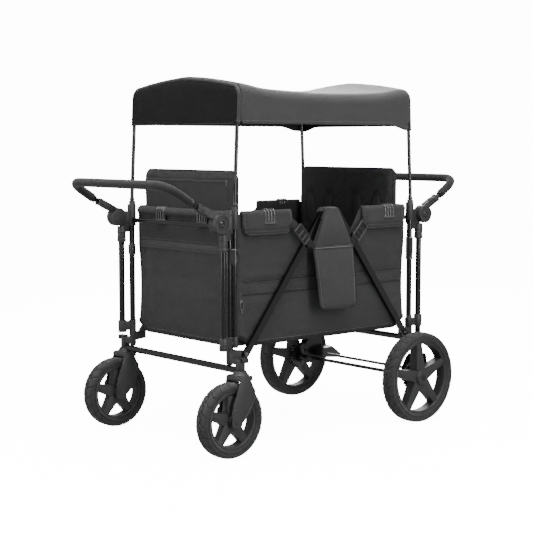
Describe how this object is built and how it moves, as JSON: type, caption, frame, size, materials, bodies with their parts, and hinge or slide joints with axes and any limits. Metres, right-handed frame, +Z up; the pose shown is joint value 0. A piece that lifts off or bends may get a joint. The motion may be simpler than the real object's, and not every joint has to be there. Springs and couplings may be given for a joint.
{
  "type": "wagon with pull handle",
  "caption": "Folding family wagon: fabric body with facing padded benches, ridge canopy on hoops, a tilting push-pull handle at each end, swivel casters in front and braked wheels behind.",
  "frame": {"origin": "on the ground under the middle of the wagon", "axes": "+X towards the rear wheels and brake, -X towards the swivel casters, -Y the wagon's left side, +Z up"},
  "size_m": [1.255, 0.6706, 1.116],
  "materials": {
    "frame_steel": "dark grey satin powder coat",
    "moulded_plastic": "fine-grained dark grey moulding",
    "black_plastic": "satin black moulding",
    "tyre": "matt grey-black tread rubber",
    "foam_grip": "matt closed-cell foam sleeve",
    "padding": "padded charcoal cloth",
    "fabric": "charcoal heather polyester",
    "axle_steel": "plain ground steel"
  },
  "bodies": {
    "front_frame": {"front_left_post": "frame_steel", "front_left_top_bracket": "moulded_plastic", "front_left_lower_bracket": "moulded_plastic", "front_left_handle_stay": "frame_steel", "front_right_post": "frame_steel", "front_right_top_bracket": "moulded_plastic", "front_right_lower_bracket": "moulded_plastic", "front_right_handle_stay": "frame_steel", "front_lower_bar": "frame_steel", "front_rim_bar": "frame_steel", "front_backrest": "padding", "fabric_tub": "fabric", "base_mat": "padding"},
    "rear_frame": {"rear_left_post": "frame_steel", "rear_left_top_bracket": "moulded_plastic", "rear_left_lower_bracket": "moulded_plastic", "rear_left_wheel_leg": "frame_steel", "rear_right_post": "frame_steel", "rear_right_top_bracket": "moulded_plastic", "rear_right_lower_bracket": "moulded_plastic", "rear_right_wheel_leg": "frame_steel", "rear_lower_bar": "frame_steel", "rear_rim_bar": "frame_steel", "rear_backrest": "padding", "rear_axle": "axle_steel"},
    "front_seat": {"front_seat": "padding"},
    "rear_seat": {"rear_seat": "padding"},
    "front_links": {"front_left_link": "frame_steel", "front_right_link": "frame_steel"},
    "rear_links": {"rear_left_link": "frame_steel", "rear_right_link": "frame_steel"},
    "middle_hinges": {"left_hinge_cover": "fabric", "right_hinge_cover": "fabric"},
    "front_hoop": {"front_canopy_hoop": "frame_steel", "canopy_sheet": "fabric"},
    "rear_hoop": {"rear_canopy_hoop": "frame_steel"},
    "brake": {"brake_bar": "black_plastic"},
    "front_left_caster": {"front_left_caster_fork": "moulded_plastic"},
    "front_left_caster_wheel": {"front_left_caster_rim": "moulded_plastic", "front_left_caster_tyre": "tyre"},
    "front_left_swivel_lock": {"front_left_swivel_lock": "black_plastic"},
    "rear_left_wheel": {"rear_left_rim": "moulded_plastic", "rear_left_tyre": "tyre"},
    "front_right_caster": {"front_right_caster_fork": "moulded_plastic"},
    "front_right_caster_wheel": {"front_right_caster_rim": "moulded_plastic", "front_right_caster_tyre": "tyre"},
    "front_right_swivel_lock": {"front_right_swivel_lock": "black_plastic"},
    "rear_right_wheel": {"rear_right_rim": "moulded_plastic", "rear_right_tyre": "tyre"},
    "front_handle": {"front_left_handle_arm": "moulded_plastic", "front_right_handle_arm": "moulded_plastic", "front_handle_grip": "foam_grip"},
    "front_left_button": {"front_left_hub_button": "black_plastic"},
    "front_right_button": {"front_right_hub_button": "black_plastic"},
    "rear_handle": {"rear_left_handle_arm": "moulded_plastic", "rear_right_handle_arm": "moulded_plastic", "rear_handle_grip": "foam_grip"},
    "rear_left_button": {"rear_left_hub_button": "black_plastic"},
    "rear_right_button": {"rear_right_hub_button": "black_plastic"}
  },
  "joints": [
    {"name": "fold", "type": "slide", "parent": "front_frame", "child": "rear_frame", "axis": [-1, 0, 0], "range_m": [0, 0.43], "deforming": ["fabric_tub", "base_mat", "canopy_sheet", "left_hinge_cover", "right_hinge_cover"]},
    {"name": "front_links_turn", "type": "hinge", "parent": "front_frame", "child": "front_links", "pos_m": [-0.342, 0, 0.295], "axis": [0, -1, 0], "range_deg": [0, 26.8]},
    {"name": "rear_links_turn", "type": "hinge", "parent": "rear_frame", "child": "rear_links", "pos_m": [0.342, 0, 0.295], "axis": [0, 1, 0], "range_deg": [0, 26.8]},
    {"name": "middle_hinges_rise", "type": "slide", "parent": "front_frame", "child": "middle_hinges", "axis": [-0.9156, 0, 0.402], "range_m": [0, 0.2351]},
    {"name": "front_seat_lift", "type": "hinge", "parent": "front_frame", "child": "front_seat", "pos_m": [-0.316, 0, 0.5], "axis": [0, -1, 0], "range_deg": [0, 85.05]},
    {"name": "rear_seat_lift", "type": "hinge", "parent": "rear_frame", "child": "rear_seat", "pos_m": [0.316, 0, 0.5], "axis": [0, 1, 0], "range_deg": [0, 85.05]},
    {"name": "canopy_height", "type": "slide", "parent": "front_frame", "child": "front_hoop", "axis": [0, 0, 1], "range_m": [0, 0.12]},
    {"name": "rear_hoop_height", "type": "slide", "parent": "rear_frame", "child": "rear_hoop", "axis": [0, 0, 1], "range_m": [0, 0.1201]},
    {"name": "front_left_swivel", "type": "hinge", "parent": "front_frame", "child": "front_left_caster", "pos_m": [-0.383, -0.294, 0.25], "axis": [0, 0, 1], "continuous": true},
    {"name": "front_left_caster_spin", "type": "hinge", "parent": "front_left_caster", "child": "front_left_caster_wheel", "pos_m": [-0.424, -0.294, 0.112], "axis": [0, 1, 0], "continuous": true},
    {"name": "front_left_lock_lift", "type": "slide", "parent": "front_frame", "child": "front_left_swivel_lock", "axis": [0, 0, 1], "range_m": [0, 0.008]},
    {"name": "rear_left_wheel_spin", "type": "hinge", "parent": "rear_frame", "child": "rear_left_wheel", "pos_m": [0.37, -0.306, 0.149], "axis": [0, 1, 0], "continuous": true},
    {"name": "front_right_swivel", "type": "hinge", "parent": "front_frame", "child": "front_right_caster", "pos_m": [-0.383, 0.294, 0.25], "axis": [0, 0, 1], "continuous": true},
    {"name": "front_right_caster_spin", "type": "hinge", "parent": "front_right_caster", "child": "front_right_caster_wheel", "pos_m": [-0.424, 0.294, 0.112], "axis": [0, 1, 0], "continuous": true},
    {"name": "front_right_lock_lift", "type": "slide", "parent": "front_frame", "child": "front_right_swivel_lock", "axis": [0, 0, 1], "range_m": [0, 0.008]},
    {"name": "rear_right_wheel_spin", "type": "hinge", "parent": "rear_frame", "child": "rear_right_wheel", "pos_m": [0.37, 0.306, 0.149], "axis": [0, 1, 0], "continuous": true},
    {"name": "brake_press", "type": "hinge", "parent": "rear_frame", "child": "brake", "pos_m": [0.43, 0, 0.158], "axis": [0, 1, 0], "range_deg": [0, 20]},
    {"name": "front_handle_tilt", "type": "hinge", "parent": "front_frame", "child": "front_handle", "pos_m": [-0.434, 0, 0.685], "axis": [0, 1, 0], "range_deg": [-75, 45]},
    {"name": "front_left_button_press", "type": "slide", "parent": "front_handle", "child": "front_left_button", "axis": [0, 1, 0], "range_m": [0, 0.004], "stiffness_N_per_m": 800},
    {"name": "front_right_button_press", "type": "slide", "parent": "front_handle", "child": "front_right_button", "axis": [0, -1, 0], "range_m": [0, 0.004], "stiffness_N_per_m": 800},
    {"name": "rear_handle_tilt", "type": "hinge", "parent": "rear_frame", "child": "rear_handle", "pos_m": [0.434, 0, 0.685], "axis": [0, -1, 0], "range_deg": [-75, 45]},
    {"name": "rear_left_button_press", "type": "slide", "parent": "rear_handle", "child": "rear_left_button", "axis": [0, 1, 0], "range_m": [0, 0.004], "stiffness_N_per_m": 800},
    {"name": "rear_right_button_press", "type": "slide", "parent": "rear_handle", "child": "rear_right_button", "axis": [0, -1, 0], "range_m": [0, 0.004], "stiffness_N_per_m": 800}
  ],
  "couplings": [
    {"joint": "front_links_turn", "follows": "fold", "rad_per_m": 1.0856},
    {"joint": "rear_links_turn", "follows": "fold", "rad_per_m": 1.0856},
    {"joint": "middle_hinges_rise", "follows": "fold", "ratio": 0.5461},
    {"joint": "front_seat_lift", "follows": "fold", "rad_per_m": 3.45},
    {"joint": "rear_seat_lift", "follows": "fold", "rad_per_m": 3.45},
    {"joint": "rear_hoop_height", "follows": "canopy_height", "ratio": 1}
  ]
}
